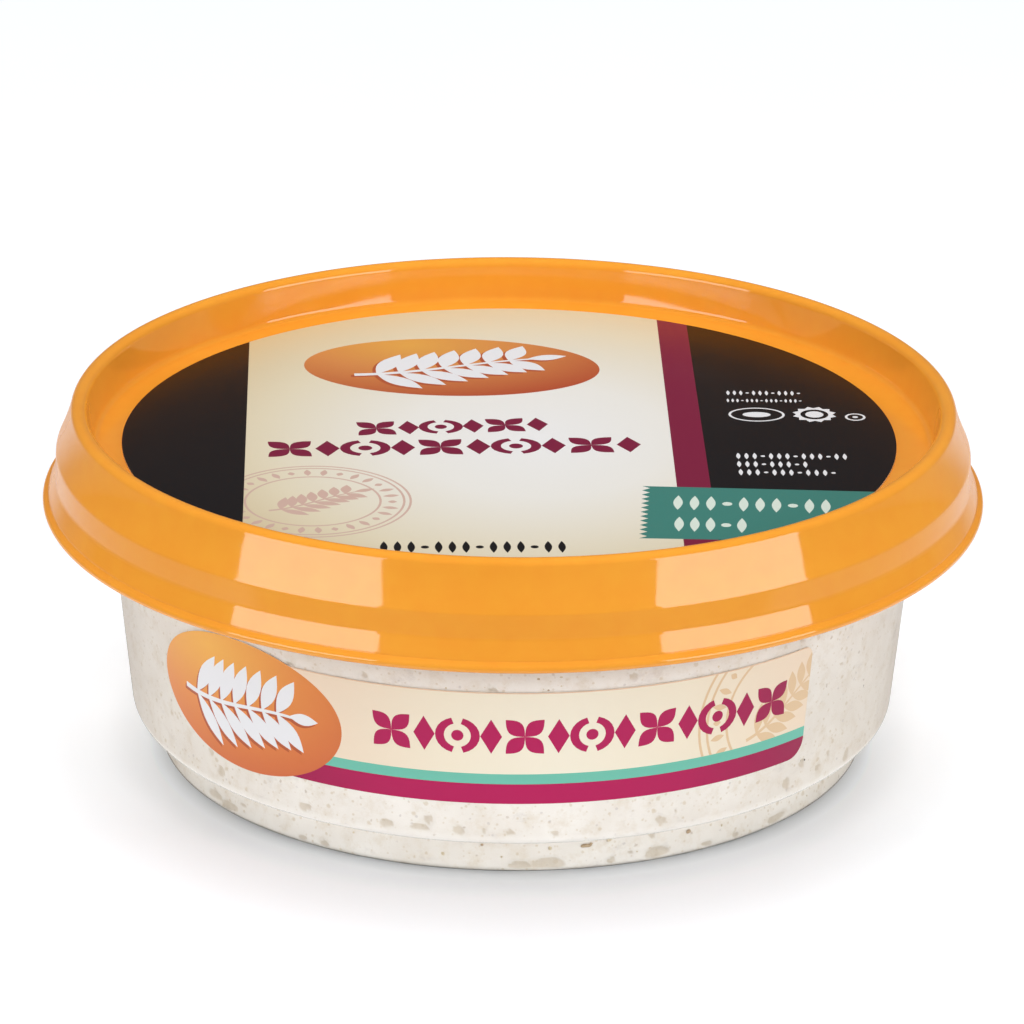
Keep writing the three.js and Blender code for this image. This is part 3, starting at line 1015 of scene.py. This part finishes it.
def build_sticker(inks):
    oval = (OVAL_CENTRE, OVAL_HALF_WIDTH, OVAL_HALF_HEIGHT, 0)
    layers = stamp((34.0, 18.2), 12.0, 11.0, 8.4, 0.32, "peach", "side_cream")
    layers.append(("side_teal", bar(-40, 12.9, 40, 14.2)))
    layers.append(("side_magenta", bar(-40, 9, 40, 12.9)))
    layers += [("side_magenta", shape) for shape in motif_row((-15.6, 19.0), (34.0, 19.1), 4.4)]
    layers.append(("cut_edge", bar(-40, BAND_TOP - 0.14, 40, BAND_TOP + 1)))
    layers += oval_field(oval, (19.5, 2.6, 0.36), -12, "oval_shade", "side_oval", (-0.3, -0.35))
    sheets = [ellipse(OVAL_CENTRE, OVAL_HALF_WIDTH, OVAL_HALF_HEIGHT, 0, 96), band_outline()]
    # points all over, so that the sheet follows the wall's curve
    grid = [
        (-48 + PRINT_STEP * column, 9.2 + 2.1 * row + 0.05 * (column % 2))
        for column in range(73) for row in range(9)
    ]
    cut = cut_print(sheets, layers, "side_cream", PRINT_STEP, grid)
    label = printed_solid(
        "side_sticker", cut, inks,
        lambda p: on_wall(p, STICKER_LIFT + STICKER_THICKNESS), lambda p: on_wall(p, STICKER_LIFT),
        "paper",
    )
    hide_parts("side_label")


def make_inks():
    top = PANEL_HEIGHT + DISC_THICKNESS
    lid_cream = sunburst(
        (3, -1, top), 46, (1, 0.85, 0),
        (0.0, srgb(233, 232, 231)), (0.35, srgb(231, 228, 221)), (0.72, srgb(222, 211, 184)),
        (1.0, srgb(207, 187, 145)),
    )
    side_cream = sunburst(
        (6, 0, 18), 34, (1, 0, 0.5),
        (0.0, srgb(235, 227, 207)), (0.4, srgb(234, 223, 200)), (1.0, srgb(231, 206, 181)),
    )
    side_magenta = sunburst(
        (2, 0, 14), 34, (1, 0, 0.3),
        (0.0, srgb(176, 18, 84)), (0.5, srgb(172, 20, 82)), (1.0, srgb(142, 14, 66)),
    )
    lid_oval = sunburst(
        (-13, 32, top), 25.5, (0.8, 1.2, 0),
        (0.0, srgb(222, 162, 74)), (0.42, srgb(208, 133, 72)), (1.0, srgb(170, 62, 40)),
    )
    side_oval = sunburst(
        (-35, 0, 24), 19, (0.75, 0, 1),
        (0.0, srgb(236, 174, 76)), (0.45, srgb(220, 134, 66)), (1.0, srgb(194, 88, 58)),
    )
    return {
        "paper": ink("paper_back", srgb(236, 232, 224), 0.1),
        "lid_cream": ink("cream_print_disc", lid_cream),
        "side_cream": ink("cream_print_sticker", side_cream),
        "black": ink("black_print", srgb(17, 14, 16)),
        "magenta": ink("magenta_print_disc", srgb(122, 24, 58)),
        "side_magenta": ink("magenta_print_sticker", side_magenta),
        "teal": ink("teal_print_disc", srgb(62, 125, 115)),
        "side_teal": ink("teal_print_sticker", srgb(108, 186, 165)),
        "lid_oval": ink("oval_print_disc", lid_oval),
        "side_oval": ink("oval_print_sticker", side_oval),
        "oval_shade": ink("shade_print", srgb(176, 84, 48)),
        "white": ink("white_print", srgb(228, 228, 230)),
        "pale": ink("pale_print", srgb(214, 226, 214)),
        "rose": ink("rose_print", srgb(204, 172, 158)),
        "peach": ink("peach_print", srgb(220, 190, 152)),
        "cut_edge": ink("edge_print", srgb(222, 190, 160)),
    }


# ---- Camera, floor and light ----

CAMERA_PLACE = (-0.0001, -0.6164, 0.2683)  # metres
CAMERA_PITCH = 21.313  # degrees down
CAMERA_ROLL = 0.453
CAMERA_LENS = 193.36  # on the standard 36 mm sensor
LIGHT_AIM = 0.03  # metres above the floor, the height that the lamps face
FLOOR_HALF = 3.0  # metres

# The floor's shading. Pairs are where a change starts and ends, in millimetres from the pack's axis.
PAPER_SIDE = (90, 210)  # the bright part dims to the left and right
PAPER_BACK = (340, 700)
PAPER_FRONT = (-84, -104)
PAPER_GLOW = 0.15
PAPER_GLOW_STARTS = (42.7, 50)
PAPER_LIFT = (-32, 5)  # towards the back, a painted glow thins out the pack's shadow
PAPER_LIFT_ENDS = (50, 78)
PAPER_LIFT_GLOW = 0.26
PAPER_PAINTED_SHADOW_SPAN = (42.4, 45)  # a painted contact shadow, a dark ring round the foot
PAPER_PAINTED_SHADOW_DEPTH = 0.4


def add_camera():
    camera = bpy.data.objects.new("camera", bpy.data.cameras.new("camera"))
    camera.data.lens = CAMERA_LENS
    turn = Matrix.Rotation(math.radians(90 - CAMERA_PITCH), 4, "X")
    roll = Matrix.Rotation(math.radians(CAMERA_ROLL), 4, "Z")
    camera.matrix_world = Matrix.Translation(CAMERA_PLACE) @ turn @ roll
    bpy.context.scene.collection.objects.link(camera)
    bpy.context.scene.camera = camera


def softbox(name, azimuth, elevation, distance, width, height, radiance, roll=0, mirrored=True):
    """A soft light that faces the pack; azimuth 0 is in front and 90 to the right, sizes are metres.

    One that isn't mirrored lights the pack without showing in its gloss."""
    light = bpy.data.lights.new(name, "AREA")
    light.shape = "RECTANGLE"
    light.size, light.size_y = width, height
    light.energy = radiance * math.pi * width * height
    lamp = bpy.data.objects.new(name, light)
    a, e = math.radians(azimuth), math.radians(elevation)
    back = Vector((math.sin(a) * math.cos(e), -math.cos(a) * math.cos(e), math.sin(e)))
    place = Matrix.Translation(back * distance + Vector((0, 0, LIGHT_AIM)))
    facing = back.to_track_quat("Z", "Y").to_matrix().to_4x4()
    lamp.matrix_world = place @ facing @ Matrix.Rotation(math.radians(roll), 4, "Z")
    lamp.visible_camera = False
    lamp.visible_glossy = mirrored
    bpy.context.scene.collection.objects.link(lamp)


def floor_paper():
    """Pale paper with a faint painted glow, more of it behind the pack to thin the pack's shadow, dimmer far
    off, and with a painted contact shadow round the foot.
    """
    look = Look("floor_paper", Roughness=0.9, Specular_IOR_Level=0.1)
    along = look.axis("Y")
    side = look.fit(look.math("ABSOLUTE", look.axis("X")), *PAPER_SIDE, 0, 1)
    ends = look.math("MAXIMUM", look.fit(along, *PAPER_BACK, 0, 1), look.fit(along, *PAPER_FRONT, 0, 1))
    fade = look.math("MAXIMUM", side, ends)
    paper = look.mix(look.noise(30, 2), srgb(236, 240, 244), srgb(239, 243, 247))
    away = look.distance_from((0, 0, 0))
    # painted shadow: the paper is darkened in a ring where the foot meets it
    painted_contact_shadow = look.fit(away, *PAPER_PAINTED_SHADOW_SPAN, PAPER_PAINTED_SHADOW_DEPTH, 0)
    look.set(Base_Color=look.mix(look.math("MAXIMUM", fade, painted_contact_shadow), paper, srgb(140, 140, 143)))
    # painted light: the paper glows though it is no lamp, and glows more behind the pack where its shadow
    # falls
    glow = look.fit(fade, 0, 1, PAPER_GLOW, 0)
    glow = look.math("MULTIPLY", glow, look.fit(away, *PAPER_GLOW_STARTS, 0, 1))
    thin = look.fit(along, *PAPER_LIFT, 0, PAPER_LIFT_GLOW)
    lift = look.math("MULTIPLY", thin, look.fit(away, *PAPER_LIFT_ENDS, 1, 0))
    look.set(Emission_Color=(1, 1, 1, 1), Emission_Strength=look.math("ADD", glow, lift))
    return look.material


def add_floor(material):
    signs = ((-1, -1), (1, -1), (1, 1), (-1, 1))
    mesh = bpy.data.meshes.new("floor")
    mesh.from_pydata([(FLOOR_HALF * x, FLOOR_HALF * y, 0) for x, y in signs], [], [(0, 1, 2, 3)])
    mesh.materials.append(material)
    floor = bpy.data.objects.new("floor", mesh)
    bpy.context.scene.collection.objects.link(floor)


def add_light():
    softbox("softbox_left", -49.8, 9.5, 1.1, 0.73, 0.64, 4.9, roll=3)
    softbox("softbox_right", 54.4, 9.5, 1.1, 0.765, 0.64, 4.9, roll=-3)
    softbox("softbox_top", 180, 86, 1.8, 1.8, 1.55, 3.15, mirrored=False)
    softbox("softbox_high", 0, 58, 1.5, 1.2, 0.8, 1.3, mirrored=False)
    world = bpy.data.worlds.new("studio")
    world.use_nodes = True
    world.node_tree.nodes["Background"].inputs["Color"].default_value = (0.12, 0.12, 0.125, 1)
    bpy.context.scene.world = world
    bpy.context.scene.view_settings.view_transform = "Standard"


add_camera()
add_floor(floor_paper())
add_light()
build_dip(dip_paste())
build_flecks({
    "skin": fleck("aubergine_skin", srgb(84, 76, 70), srgb(128, 116, 102)),
    "char": fleck("charred_fleck", srgb(164, 138, 106), srgb(192, 170, 138)),
    "seed": fleck("seed_fleck", srgb(202, 184, 150), srgb(220, 207, 180)),
})
build_tub(tub_plastic())
build_lid(lid_plastic())
printed = make_inks()
build_lid_label(printed)
build_sticker(printed)
